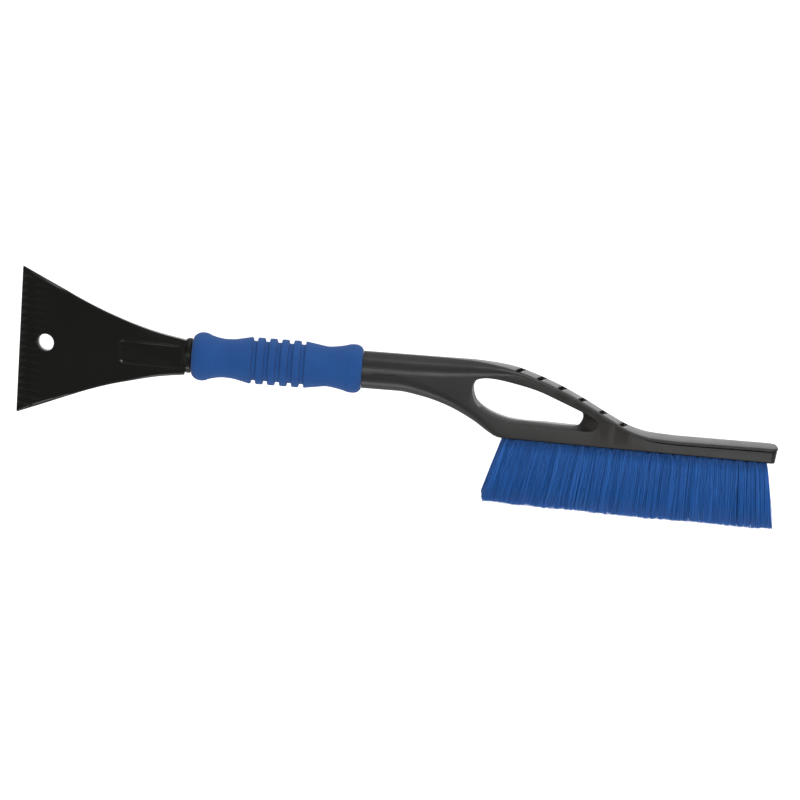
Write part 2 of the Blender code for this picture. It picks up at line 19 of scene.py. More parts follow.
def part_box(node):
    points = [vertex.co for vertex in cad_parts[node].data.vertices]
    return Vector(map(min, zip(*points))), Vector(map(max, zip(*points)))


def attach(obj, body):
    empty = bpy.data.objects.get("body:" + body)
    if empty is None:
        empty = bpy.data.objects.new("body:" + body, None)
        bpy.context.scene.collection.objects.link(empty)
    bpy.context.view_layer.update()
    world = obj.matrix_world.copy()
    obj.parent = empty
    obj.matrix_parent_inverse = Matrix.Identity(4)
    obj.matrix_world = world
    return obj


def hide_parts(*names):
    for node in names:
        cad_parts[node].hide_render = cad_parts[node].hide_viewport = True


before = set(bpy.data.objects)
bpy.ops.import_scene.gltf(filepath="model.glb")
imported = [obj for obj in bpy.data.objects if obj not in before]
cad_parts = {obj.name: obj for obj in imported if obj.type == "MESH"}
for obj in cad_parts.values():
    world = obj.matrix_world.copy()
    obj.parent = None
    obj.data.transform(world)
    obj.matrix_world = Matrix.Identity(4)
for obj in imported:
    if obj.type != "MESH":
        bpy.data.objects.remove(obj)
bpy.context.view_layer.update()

MM = 0.001

# %% [markdown]
# Every size below is along the tool: from the shoulder where the sleeve stops, up towards the
# tool's back, and out of its side. The sleeve's box gives that shoulder and the tube's axis, so
# nothing is placed by eye. `spot` turns such a place into the frame's metres.

# %% The tool's own axes
GAP = 0.3
SLEEVE_LOW, SLEEVE_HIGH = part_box("foam_grip")
SHOULDER = Vector((
    SLEEVE_HIGH.x + GAP * MM,
    (SLEEVE_LOW.y + SLEEVE_HIGH.y) / 2,
    (SLEEVE_LOW.z + SLEEVE_HIGH.z) / 2,
))


def spot(along, up=0.0, out=0.0):
    """A place on the tool, given in millimetres from the shoulder."""
    return SHOULDER + Vector((along, up, out)) * MM


print("shoulder at", [round(v / MM, 2) for v in SHOULDER])

# %% [markdown]
# The camera comes first, because everything is judged through it. It looks down on the tool as
# it lies on its side, from 12 degrees towards the tool's back, and is rolled so that the brush
# end sits lower. A long lens keeps the perspective slight.

# %% Camera
VIEW_TILT = math.radians(12)
VIEW_ROLL = math.radians(-4.6)
VIEW_DISTANCE = 1.9
VIEW_CENTRE = SHOULDER + Vector((30.5, -21.7, 0)) * MM
LENS = 111.3

toward_camera = Vector((0, math.sin(VIEW_TILT), math.cos(VIEW_TILT)))
level_right = Vector((1, 0, 0))
level_up = level_right.cross(-toward_camera).normalized()
rolled_right = math.cos(VIEW_ROLL) * level_right - math.sin(VIEW_ROLL) * level_up
rolled_up = math.sin(VIEW_ROLL) * level_right + math.cos(VIEW_ROLL) * level_up
turn = Matrix((rolled_right, rolled_up, toward_camera)).transposed().to_4x4()
camera_data = bpy.data.cameras.new("camera")
camera_data.lens = LENS
camera_data.sensor_width = 36
camera = bpy.data.objects.new("camera", camera_data)
camera.matrix_world = Matrix.Translation(VIEW_CENTRE + toward_camera * VIEW_DISTANCE) @ turn
bpy.context.collection.objects.link(camera)
bpy.context.scene.camera = camera
print("camera at", [round(v, 3) for v in camera.matrix_world.translation])

# %% [markdown]
# A few helpers cover most of the modelling. A piece starts as an empty mesh in edit mode. A line
# is drawn by extruding one corner from point to point, lines are bridged into a skin, and parts
# of the mesh are selected by where they are.

# %% Modelling helpers
DOT = 0.001


def start_piece(name):
    """Begin an empty mesh at the origin, open in edit mode."""
    bpy.ops.object.select_all(action="DESELECT")
    bpy.ops.mesh.primitive_plane_add(size=DOT)
    piece = bpy.context.object
    piece.name = name
    piece.data.name = name
    bpy.ops.object.mode_set(mode="EDIT")
    bpy.ops.mesh.select_all(action="SELECT")
    bpy.ops.mesh.delete(type="VERT")
    return piece


def draw_line(points, closed=False):
    """Draw a chain of edges, extruding one corner from point to point."""
    bpy.ops.mesh.select_mode(type="VERT")
    mesh = bmesh.from_edit_mesh(bpy.context.object.data)
    first = len(mesh.verts)
    bpy.ops.mesh.primitive_plane_add(size=DOT, location=points[0])
    bpy.ops.mesh.merge(type="CENTER")
    for here, there in zip(points, points[1:]):
        bpy.ops.mesh.extrude_region_move(TRANSFORM_OT_translate={"value": there - here})
    if closed:
        mesh = bmesh.from_edit_mesh(bpy.context.object.data)
        mesh.verts.ensure_lookup_table()
        mesh.verts[first].select_set(True)
        bpy.ops.mesh.edge_face_add()


def pick(kind, test):
    """Select the corners, edges or faces of the open mesh that pass a test."""
    bpy.ops.mesh.select_mode(type=kind)
    bpy.ops.mesh.select_all(action="DESELECT")
    data = bpy.context.object.data
    mesh = bmesh.from_edit_mesh(data)
    parts = {"VERT": mesh.verts, "EDGE": mesh.edges, "FACE": mesh.faces}[kind]
    chosen = [part for part in parts if test(part)]
    for part in chosen:
        part.select_set(True)
    bmesh.update_edit_mesh(data)
    return len(chosen)


def middle(edge):
    return (edge.verts[0].co + edge.verts[1].co) / 2


def close_up(merge=0.00002):
    """Merge doubled corners, point the faces outwards and leave edit mode."""
    bpy.ops.mesh.select_all(action="SELECT")
    bpy.ops.mesh.remove_doubles(threshold=merge)
    bpy.ops.mesh.normals_make_consistent(inside=False)
    bpy.ops.object.mode_set(mode="OBJECT")


def make_active(piece):
    bpy.ops.object.select_all(action="DESELECT")
    piece.select_set(True)
    bpy.context.view_layer.objects.active = piece


def apply_modifier(piece, kind, **settings):
    modifier = piece.modifiers.new(kind.lower(), kind)
    for name, value in settings.items():
        setattr(modifier, name, value)
    make_active(piece)
    bpy.ops.object.modifier_apply(modifier=modifier.name)


def carve(piece, form, operation="DIFFERENCE"):
    """Cut a form out of a piece, or join it on, and throw the form away."""
    apply_modifier(piece, "BOOLEAN", object=form, operation=operation, solver="EXACT")
    bpy.data.objects.remove(form, do_unlink=True)


def round_edges(piece, width, segments, test, sharper_than=30):
    """Round the sharp edges of a piece that pass a test of their middle."""
    make_active(piece)
    bpy.ops.object.mode_set(mode="EDIT")
    limit = math.radians(sharper_than)

    def sharp(edge):
        return len(edge.link_faces) == 2 and edge.calc_face_angle(0) > limit and test(middle(edge))

    count = pick("EDGE", sharp)
    bpy.ops.mesh.bevel(offset=width * MM, segments=segments, profile=0.5, clamp_overlap=True)
    bpy.ops.object.mode_set(mode="OBJECT")
    return count


def settle(piece, node, finish, angle=35):
    """Smooth a finished piece, give it its material and let it stand for its node."""
    make_active(piece)
    bpy.ops.object.shade_smooth_by_angle(angle=math.radians(angle))
    piece.data.materials.clear()
    piece.data.materials.append(finish)
    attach(piece, "root")
    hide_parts(node)
    print(piece.name, len(piece.data.vertices), "corners,", len(piece.data.polygons), "faces")


def smooth(points, x):
    """A smooth curve through points, which never swings past them."""
    if x <= points[0][0]:
        return points[0][1]
    if x >= points[-1][0]:
        return points[-1][1]
    slopes = [(b[1] - a[1]) / (b[0] - a[0]) for a, b in zip(points, points[1:])]
    tangents = [slopes[0]]
    for before, after in zip(slopes, slopes[1:]):
        same_way = before * after > 0
        tangents.append(2 * before * after / (before + after) if same_way else 0)
    tangents.append(slopes[-1])
    for i, (start, end) in enumerate(zip(points, points[1:])):
        if x <= end[0]:
            span = end[0] - start[0]
            t = (x - start[0]) / span
            value = start[1] * (1 + 2 * t) * (1 - t) ** 2 + end[1] * t * t * (3 - 2 * t)
            return value + span * t * (1 - t) * (tangents[i] * (1 - t) - tangents[i + 1] * t)


def arc(centre, radius, first, last, steps):
    turns = [math.radians(first + (last - first) * i / steps) for i in range(steps + 1)]
    return [(centre[0] + radius * math.cos(a), centre[1] + radius * math.sin(a)) for a in turns]


# %% [markdown]
# Finishes are built from a few small bricks: a noise on the piece's own coordinates, a colour
# that drifts between two tones, a roughness that drifts between two values, and a fine relief.
# Coordinates are in metres, so a scale of 1000 gives grain of about a millimetre.

# %% Finish helpers
def new_finish(name, **sockets):
    """A material whose constant values sit straight on the shader's own sockets."""
    finish = bpy.data.materials.new(name)
    finish.use_nodes = True
    shader = finish.node_tree.nodes["Principled BSDF"]
    for socket, value in sockets.items():
        shader.inputs[socket.replace("_", " ")].default_value = value
    return finish


def grain(finish, scale, detail=2.0, stretch=(1, 1, 1), kind="ShaderNodeTexNoise"):
    """A pattern on the piece's own coordinates, from 0 to 1."""
    tree = finish.node_tree
    place = tree.nodes.new("ShaderNodeTexCoord")
    spread = tree.nodes.new("ShaderNodeMapping")
    spread.inputs["Scale"].default_value = stretch
    pattern = tree.nodes.new(kind)
    pattern.inputs["Scale"].default_value = scale
    pattern.inputs["Detail"].default_value = detail
    tree.links.new(place.outputs["Object"], spread.inputs["Vector"])
    tree.links.new(spread.outputs["Vector"], pattern.inputs["Vector"])
    return pattern.outputs["Fac" if kind == "ShaderNodeTexNoise" else "Distance"]


def tint(finish, factor, tones, spread=(0.3, 0.7)):
    """Let the base colour drift between tones along a pattern."""
    ramp = finish.node_tree.nodes.new("ShaderNodeValToRGB")
    low, high = spread
    ramp.color_ramp.elements[0].position = low
    ramp.color_ramp.elements[1].position = high
    ramp.color_ramp.elements[0].color = (*tones[0], 1)
    ramp.color_ramp.elements[1].color = (*tones[-1], 1)
    for i, tone in enumerate(tones[1:-1], 1):
        ramp.color_ramp.elements.new(low + (high - low) * i / (len(tones) - 1)).color = (*tone, 1)
    shader = finish.node_tree.nodes["Principled BSDF"]
    finish.node_tree.links.new(factor, ramp.inputs["Fac"])
    finish.node_tree.links.new(ramp.outputs["Color"], shader.inputs["Base Color"])


def vary_roughness(finish, factor, low, high):
    scale = finish.node_tree.nodes.new("ShaderNodeMapRange")
    scale.inputs["From Min"].default_value = 0.3
    scale.inputs["From Max"].default_value = 0.7
    scale.inputs["To Min"].default_value = low
    scale.inputs["To Max"].default_value = high
    shader = finish.node_tree.nodes["Principled BSDF"]
    finish.node_tree.links.new(factor, scale.inputs["Value"])
    finish.node_tree.links.new(scale.outputs["Result"], shader.inputs["Roughness"])


def relief(finish, factor, depth, strength=1.0):
    """Raise a fine relief from a pattern; depth is in millimetres."""
    bump = finish.node_tree.nodes.new("ShaderNodeBump")
    bump.inputs["Distance"].default_value = depth * MM
    bump.inputs["Strength"].default_value = strength
    shader = finish.node_tree.nodes["Principled BSDF"]
    before = shader.inputs["Normal"].links
    if before:
        finish.node_tree.links.new(before[0].from_socket, bump.inputs["Normal"])
    finish.node_tree.links.new(factor, bump.inputs["Height"])
    finish.node_tree.links.new(bump.outputs["Normal"], shader.inputs["Normal"])


# %% [markdown]
# ## The handle
#
# The handle is moulded in black polypropylene with a fine spark-eroded grain, so it is satin and
# shows soft, broad highlights. Its colour drifts between a neutral and a slightly brown black.

# %% Satin black plastic
satin_black = new_finish("satin_black", Specular_IOR_Level=0.5, Coat_Weight=0.3, Coat_Roughness=0.3)
tint(satin_black, grain(satin_black, 9, 3), ((0.0165, 0.0168, 0.0168), (0.024, 0.0225, 0.021)))
vary_roughness(satin_black, grain(satin_black, 60, 4), 0.30, 0.38)
relief(satin_black, grain(satin_black, 2600, 3), 0.01, 0.4)
print("finish", satin_black.name)

# %% [markdown]
# The handle could be carved from one cylinder, but its section changes all the way from a round
# tube to a thin brush block. It is drawn as a boat is: a half section every few millimetres,
# bridged into a skin and mirrored. These tables give the section's sizes along the tool.

# %% Handle sizes
TUBE = 14.4
SPIGOT = 11.8
BORE = 9.5
BORE_DEPTH = 118
SLEEVE = 130.6
BRUSH_START = 112
BRUSH_FACE = -43
BRUSH_TILT = math.radians(0.9)
BLOCK_TIP = 322.6
TIP_ROUND = 5
TIP_LEAN = 1.5
STRIP = 2.2
STRIP_STEP = 1.2
STRIP_FILLET = 0.35
SEAM_HEIGHT = 1.0
SEAM_DEPTH = 3.0
STATION_STEP = 3.05

TOP_LINE = (
    (0, 14.4), (60, 14.5), (83, 14.3), (97, 13.3), (115, 10.7), (134, 5.2), (154, -2.4), (174, -11.9),
    (193, -22.0), (211, -30.2), (225, -33.3), (245, -34.4),
)
BOTTOM_LINE = (
    (0, -14.4), (28, -14.4), (48, -17.0), (67, -22.3), (87, -31.6), (101, -40.3), (106, -42.5),
    (112, -43),
)
TOP_DEPTH = (
    (0, 14.4), (30, 14.4), (60, 13.9), (90, 13.5), (130, 13.2), (200, 13.2), (250, 12.2), (323, 11),
)
BOTTOM_DEPTH = (
    (0, 14.4), (30, 14.4), (60, 13.4), (90, 12.4), (112, 11.8), (200, 11.6), (323, 10.6),
)
TOP_ROUND = (
    (0, 14.4), (30, 14.4), (60, 13.4), (90, 10), (105, 6.5), (120, 3.8), (140, 3.0), (185, 2.4),
    (215, 1.2), (323, 1.0),
)
BOTTOM_ROUND = (
    (0, 14.4), (28, 14.4), (48, 12.5), (67, 10.5), (87, 8.5), (101, 6), (107, 3), (112, 1.4),
)
STEP_GROWTH = ((0, 0), (112, 0), (160, 1))
SEAM_GROWTH = ((0, 0), (208, 0), (230, 1))


def brush_face(x):
    """Height of the face that the tufts stand on."""
    return BRUSH_FACE - (x - BRUSH_START) * math.tan(BRUSH_TILT)


def half_section(x, squeeze=0.0, lean=0.0):
    """Half of the handle's outline at x, from the middle of its back round to its underside."""
    top = smooth(TOP_LINE, x)
    bottom = brush_face(x) if x > BRUSH_START else smooth(BOTTOM_LINE, x)
    deep = smooth(TOP_DEPTH, x) - squeeze
    shallow = smooth(BOTTOM_DEPTH, x) - squeeze
    top_round = min(smooth(TOP_ROUND, x), deep)
    bottom_round = min(smooth(BOTTOM_ROUND, x), shallow, top - bottom - top_round)
    step = STRIP_STEP * smooth(STEP_GROWTH, x)
    under = top - max(STRIP, top_round + STRIP_FILLET)
    fillet = STRIP_FILLET * min(1, step)
    outline = [(0, top)]
    outline += reversed(arc((deep - top_round, top - top_round), top_round, 0, 90, 9))
    outline += reversed(arc((deep - fillet, under + fillet), fillet, -90, 0, 3))
    inside = deep - step - SEAM_DEPTH * smooth(SEAM_GROWTH, x)
    below = under - SEAM_HEIGHT * smooth(SEAM_GROWTH, x)
    outline += [(inside, under), (inside, below), (deep - step, below)]
    outline += arc((shallow - bottom_round, bottom + bottom_round), bottom_round, 0, -90, 9)
    outline += [(0, bottom)]
    return [spot(x - lean * (top - up) / (top - bottom), up, side) for side, up in outline]


# %% [markdown]
# The far end of the block is rounded, so the last sections are squeezed in along a quarter
# circle and lean a little, and an n-gon closes the end. At the shoulder the skin is closed, inset
# and extruded into the spigot that goes through the sleeve, then inset again and pushed back in
# for the bore that takes the scraper head.

# %% Handle skin
handle = start_piece("moulded_handle")
stations = [x * STATION_STEP for x in range(int((BLOCK_TIP - TIP_ROUND) / STATION_STEP) + 1)]
for x in stations:
    draw_line(half_section(x))
for angle in range(0, 85, 12):
    x = BLOCK_TIP - TIP_ROUND + TIP_ROUND * math.sin(math.radians(angle))
    squeeze = TIP_ROUND * (1 - math.cos(math.radians(angle)))
    draw_line(half_section(x, squeeze, TIP_LEAN * math.sin(math.radians(angle))))
bpy.ops.mesh.select_all(action="SELECT")
bpy.ops.mesh.bridge_edge_loops()
close_up()
handle.data.transform(Matrix.Translation(-SHOULDER))
apply_modifier(handle, "MIRROR", use_axis=(False, False, True), use_clip=True, merge_threshold=0.00002)
handle.data.transform(Matrix.Translation(SHOULDER))
print("skin", len(handle.data.polygons), "faces from", len(stations), "sections")

# %% Handle ends
make_active(handle)
bpy.ops.object.mode_set(mode="EDIT")
tip_middle = (spot(BLOCK_TIP).x + spot(BLOCK_TIP - TIP_ROUND).x) / 2
pick("EDGE", lambda edge: len(edge.link_faces) == 1 and middle(edge).x > tip_middle)
bpy.ops.mesh.edge_face_add()
pick("EDGE", lambda edge: len(edge.link_faces) == 1 and middle(edge).x < tip_middle)
bpy.ops.mesh.edge_face_add()
bpy.ops.mesh.inset(thickness=(TUBE - SPIGOT) * MM)
bpy.ops.mesh.extrude_region_move(TRANSFORM_OT_translate={"value": (-(SLEEVE + GAP) * MM, 0, 0)})
bpy.ops.mesh.inset(thickness=(SPIGOT - BORE) * MM)
bpy.ops.mesh.extrude_region_move(TRANSFORM_OT_translate={"value": (BORE_DEPTH * MM, 0, 0)})
close_up()
print("handle with ends", len(handle.data.polygons), "faces")

# %% [markdown]
# The finger loop is a hole that is narrowest in the middle of its depth, as the two halves of
# the mould leave it, and its sharp corner is scooped out from both sides down to a thin web. The
# hole is cut with a form made of six outlines, bridged like the sections.

# %% Finger loop
LOOP = (
    (86.3, -6.6, 0), (88.1, -0.4, 0), (92.9, 2, 0), (101.8, 2.2, 0), (116.6, -0.4, 0), (134.6, -5.4, 0),
    (153, -11.6, 0), (164.2, -16, 0.15), (170.1, -19.2, 0.65), (171.8, -23, 1), (170.6, -27.4, 1),
    (167.3, -30.4, 0.8), (157.4, -30.9, 0.3), (143.3, -30.4, 0), (128.2, -30, 0), (113.8, -28.8, 0),
    (99.5, -24, 0), (89.7, -16.4, 0),
)
LOOP_DRAFT = 1.8
CORNER_REACH = 12
CORNER_DROP = 2.4
WEB = 1.8
LOOP_FACE = 12.6


def round_trip(points, steps):
    """A closed smooth curve through points, with some steps between each two."""
    curve = []
    count = len(points)
    for i in range(count):
        a, b, c, d = (Vector(points[(i + k) % count]) for k in (-1, 0, 1, 2))
        for step in range(steps):
            t = step / steps
            squared = (2 * a - 5 * b + 4 * c - d) * t**2
            cubed = (3 * b - a - 3 * c + d) * t**3
            curve.append(((2 * b) + (c - a) * t + squared + cubed) / 2)
    return curve


inner = [(x, y) for x, y, pull in LOOP]
centre = sum((Vector(point) for point in inner), Vector((0, 0))) / len(inner)
outer = []
for x, y, pull in LOOP:
    away = (Vector((x, y)) - centre).normalized() * LOOP_DRAFT * (1 - pull)
    outer.append((x + away.x + pull * CORNER_REACH, y + away.y - pull * CORNER_DROP))
loop_form = start_piece("loop_form")
for out, outline in ((-LOOP_FACE - 4, outer), (-LOOP_FACE, outer), (-WEB / 2, inner),
                     (WEB / 2, inner), (LOOP_FACE, outer), (LOOP_FACE + 4, outer)):
    draw_line([spot(p.x, p.y, out) for p in round_trip(outline, 6)], closed=True)
bpy.ops.mesh.select_all(action="SELECT")
bpy.ops.mesh.bridge_edge_loops()
for side in (-1, 1):
    pick("EDGE", lambda edge: len(edge.link_faces) == 1 and side * (middle(edge).z - SHOULDER.z) > 0)
    bpy.ops.mesh.edge_face_add()
close_up()
carve(handle, loop_form)
print("loop cut", len(handle.data.polygons), "faces")

# %% [markdown]
# Six slanted slots cross the back strip for grip. One slot form is modelled as a box with
# rounded ends, and copied to six places, each turned to stand square to the back where it lies.

# %% Slots
SLOTS = 6
SLOT_FIRST = 121
SLOT_PITCH = 16.4
SLOT_LENGTH = 22.5
SLOT_WIDTH = 4.2
SLOT_DEPTH = 5
SLOT_SLANT = math.radians(-17)

slot_form = start_piece("slot_form")
bpy.ops.mesh.primitive_cube_add(size=1, location=(0, 0, 0))
size = (SLOT_WIDTH * MM, 2 * SLOT_DEPTH * MM, SLOT_LENGTH * MM)
bpy.ops.transform.resize(value=size, center_override=(0, 0, 0))
pick("EDGE", lambda edge: abs(edge.verts[0].co.y - edge.verts[1].co.y) > SLOT_DEPTH * MM)
bpy.ops.mesh.bevel(offset=SLOT_WIDTH * MM * 0.49, segments=6, profile=0.5)
close_up(0.000001)
slot_forms = []
for i in range(SLOTS):
    x = SLOT_FIRST + i * SLOT_PITCH
    slope = math.atan2(smooth(TOP_LINE, x + 1) - smooth(TOP_LINE, x - 1), 2)
    copy = slot_form.copy()
    copy.data = slot_form.data.copy()
    bpy.context.collection.objects.link(copy)
    place = Matrix.Translation(spot(x, smooth(TOP_LINE, x))) @ Matrix.Rotation(slope, 4, "Z")
    copy.data.transform(place @ Matrix.Rotation(SLOT_SLANT, 4, "Y"))
    slot_forms.append(copy)
bpy.data.objects.remove(slot_form, do_unlink=True)
for form in slot_forms:
    carve(handle, form)
print("slots cut", len(handle.data.polygons), "faces")

# %% Soft edges of the loop and the slots
LOOP_SOFT = 0.7
SLOT_SOFT = 0.35
SOFT_ABOVE = 40


def by_loop(place):
    x = (place.x - SHOULDER.x) / MM
    y = (place.y - SHOULDER.y) / MM
    return 80 < x < 188 and -38 < y < smooth(TOP_LINE, x) - 5.5


def by_slots(place):
    x = (place.x - SHOULDER.x) / MM
    y = (place.y - SHOULDER.y) / MM
    near = min(abs(x - SLOT_FIRST - i * SLOT_PITCH) for i in range(SLOTS)) < 6
    return near and y > smooth(TOP_LINE, x) - 3.2


print("loop edges rounded", round_edges(handle, LOOP_SOFT, 3, by_loop, SOFT_ABOVE))
print("slot edges rounded", round_edges(handle, SLOT_SOFT, 2, by_slots, SOFT_ABOVE))
settle(handle, "handle", satin_black, 30)

# %% [markdown]
# ## The scraper head
#
# The head is polished black plastic. It flares from a thick neck to a 115 mm edge, with a row of
# raised ribs near the edge to break ice up, a round hang hole, and a hollow on each face of the
# neck that keeps the moulding from sinking.

# %% Gloss black plastic
gloss_black = new_finish("gloss_black", Specular_IOR_Level=0.5)
tint(gloss_black, grain(gloss_black, 12, 3), ((0.0058, 0.006, 0.0048), (0.0075, 0.0075, 0.0062)))
vary_roughness(gloss_black, grain(gloss_black, 45, 5, (1, 0.4, 1)), 0.16, 0.26)
relief(gloss_black, grain(gloss_black, 90, 3), 0.03, 0.25)
print("finish", gloss_black.name)

# %% Head sizes
HEAD = 130
COLLAR = 4
COLLAR_RADIUS = 13.5
HEAD_START = -SLEEVE - 2 * GAP - COLLAR
TANG = 45
WIDTHS = (
    (0, 13.3), (20.8, 16.84), (39, 21.48), (58.5, 27.44), (78, 34.74), (96.2, 42.69), (130, 57.5),
)
DEPTHS = (
    (0, 12.2), (8, 11.1), (26, 9.7), (58.5, 6.2), (91, 4.9), (109, 4.6), (120.55, 3.6), (130, 1.1),
)
DROPS = ((0, 0), (36.4, 0), (58.5, -2.05), (130, -10.8))
RIM = ((0, 2.4), (20, 2.4), (45, 2.3), (80, 2.3), (95, 2.5), (118, 2.8), (130, 1.7))
RIM_FALL = ((0, 1.4), (20, 1.6), (45, 1.2), (84, 1.1), (100, 2.2), (118, 2.4), (130, 0.9))


def head_half_section(distance):
    """Half of the head's outline, from the middle of its upper face round to the lower one."""
    wide, thick, drop = (smooth(table, distance) for table in (WIDTHS, DEPTHS, DROPS))
    rim, fall = smooth(RIM, distance), smooth(RIM_FALL, distance)
    flat = wide - rim
    outline = [(flat * share, thick) for share in (0, 0.25, 0.5, 0.75, 0.97)]
    outline += [(flat, thick - 0.02), (flat + 0.25 * rim, thick - 0.18 * fall)]
    outline += [(flat + 0.55 * rim, thick - 0.5 * fall), (flat + 0.85 * rim, thick - 0.86 * fall)]
    outline += [(wide - 0.04, thick - fall), (wide, thick - fall - 0.06)]
    low = 0.85 * (2 * thick - fall)
    outline += arc((wide - low, -thick + low), low, 0, -90, 9)
    outline += [((wide - low) * share, -thick) for share in (0.75, 0.5, 0.25, 0)]
    return [spot(HEAD_START - distance, side, drop + out) for side, out in outline]


# %% [markdown]
# The head's skin is drawn the same way as the handle's, mirrored across the blade. The round
# collar that meets the sleeve and the tang that goes into the handle's bore are turned as one
# form and joined on.

# %% Head skin
head = start_piece("moulded_scraper_head")
runs = 44
for i in range(runs + 1):
    draw_line(head_half_section(HEAD * i / runs))
bpy.ops.mesh.select_all(action="SELECT")
bpy.ops.mesh.bridge_edge_loops()
close_up()
head.data.transform(Matrix.Translation(-SHOULDER))
apply_modifier(head, "MIRROR", use_axis=(False, True, False), use_clip=True, merge_threshold=0.00002)
head.data.transform(Matrix.Translation(SHOULDER))
make_active(head)
bpy.ops.object.mode_set(mode="EDIT")
for far in (False, True):
    half_way = spot(HEAD_START - HEAD / 2).x
    pick("EDGE", lambda edge: len(edge.link_faces) == 1 and (middle(edge).x < half_way) == far)
    bpy.ops.mesh.edge_face_add()
close_up()
print("head skin", len(head.data.polygons), "faces")

# %% Collar and tang
def turned_form(name, outline):
    """A closed solid turned about the tool's axis from a list of distances and radii."""
    form = start_piece(name)
    draw_line([spot(x, 0, radius) for x, radius in outline])
    bpy.ops.mesh.select_all(action="SELECT")
    bpy.ops.mesh.spin(steps=64, angle=2 * math.pi, center=SHOULDER, axis=(1, 0, 0))
    close_up()
    return form


collar_end = HEAD_START + COLLAR
tang_end = collar_end + TANG
tang_radius = BORE - GAP
collar = turned_form("collar_form", (
    (HEAD_START - 3, 0), (HEAD_START - 3, COLLAR_RADIUS - 1.2), (HEAD_START - 0.5, COLLAR_RADIUS - 1),
    (HEAD_START + 0.8, COLLAR_RADIUS), (collar_end - 0.4, COLLAR_RADIUS), (collar_end, COLLAR_RADIUS - 0.4),
    (collar_end, tang_radius),
    (tang_end - 1, tang_radius), (tang_end, tang_radius - 1), (tang_end, 0),
))
carve(head, collar, "UNION")
print("head with collar", len(head.data.polygons), "faces")

# %% [markdown]
# One rib is a low bar with a rounded back that fades into the blade at its inner end. Each of
# the 19 is drawn as six outlines, bridged and joined on. The outer ones are shorter, because the
# flare leaves them less room.

# %% Ribs
RIBS = 19
RIB_PITCH = 5.5
RIB_WIDTH = 2.6
RIB_HEIGHT = 1.1
RIB_LENGTH = 21
RIB_INSET = 1.4


def rib_length(side):
    """How long a rib can be and still stay inside the flare."""
    length = RIB_LENGTH
    while smooth(WIDTHS, HEAD - length) < abs(side) + RIB_WIDTH / 2 + RIB_INSET:
        length -= 1
    return length


def blade_top(distance):
    return smooth(DEPTHS, distance) + smooth(DROPS, distance)


for i in range(RIBS):
    side = (i - (RIBS - 1) / 2) * RIB_PITCH
    length = rib_length(side)
    rib = start_piece("rib")
    for share, height in ((0, 0.6), (0.04, 0.9), (0.3, 1), (0.6, 0.9), (0.85, 0.45), (1, -0.3)):
        distance = HEAD - 0.5 - (length - 0.5) * share
        face = blade_top(distance)
        crest = face + RIB_HEIGHT * height
        outline = [(-1, face - 1), (-1, face - 0.05), (-0.42, crest - 0.12), (-0.15, crest), (0.15, crest)]
        outline += [(0.42, crest - 0.12), (1, face - 0.05), (1, face - 1)]
        points = [spot(HEAD_START - distance, side + w * RIB_WIDTH / 2, out) for w, out in outline]
        draw_line(points, closed=True)
    bpy.ops.mesh.select_all(action="SELECT")
    bpy.ops.mesh.bridge_edge_loops()
    for end in (-1, 1):
        rib_middle = spot(HEAD_START - HEAD + length / 2).x
        pick("EDGE", lambda edge: (
            len(edge.link_faces) == 1 and end * (middle(edge).x - rib_middle) > 0))
        bpy.ops.mesh.edge_face_add()
    close_up()
    carve(head, rib, "UNION")
print("ribs joined", len(head.data.polygons), "faces")

# %% Neck hollows
POCKET_WIDTH = 19
POCKET_LENGTH = 52
POCKET_DEPTH = 2.2
POCKET_CORNER = 5


def hollow_outline(narrower):
    """The hollow's outline: square by the collar, with rounded corners at the blade."""
    half = POCKET_WIDTH / 2 - narrower
    near = HEAD_START - 1 - narrower
    far = HEAD_START - POCKET_LENGTH + narrower
    round_off = POCKET_CORNER - narrower
    outline = [(near, half - 1 - step * (half - 1) / 4) for step in range(9)]
    outline += [(near - step * (near - far - round_off) / 24, -half) for step in range(1, 24)]
    outline += arc((far + round_off, round_off - half), round_off, 270, 180, 6)
    outline += arc((far + round_off, half - round_off), round_off, 180, 90, 6)
    outline += [(near - step * (near - far - round_off) / 24, half) for step in range(23, 0, -1)]
    return outline


for face in (1, -1):
    hollow = start_piece("neck_hollow")
    for depth, narrower in ((POCKET_DEPTH, 2.6), (POCKET_DEPTH - 0.2, 1.9), (0.7, 0.7),
                            (0.2, 0.3), (0, 0), (-3, -0.4)):
        points = []
        for x, y in hollow_outline(narrower):
            distance = HEAD_START - x
            out = face * (smooth(DEPTHS, distance) - depth) + smooth(DROPS, distance)
            points.append(spot(x, y, out))
        draw_line(points, closed=True)
    bpy.ops.mesh.select_all(action="SELECT")
    bpy.ops.mesh.bridge_edge_loops()
    for inside in (True, False):
        def open_end(edge):
            place = middle(edge) - SHOULDER
            distance = HEAD_START - place.x / MM
            surface = smooth(DEPTHS, distance) + face * smooth(DROPS, distance)
            return len(edge.link_faces) == 1 and (face * place.z / MM < surface) == inside

        pick("EDGE", open_end)
        bpy.ops.mesh.edge_face_add()
    close_up()
    carve(head, hollow)
print("hollows cut", len(head.data.polygons), "faces")

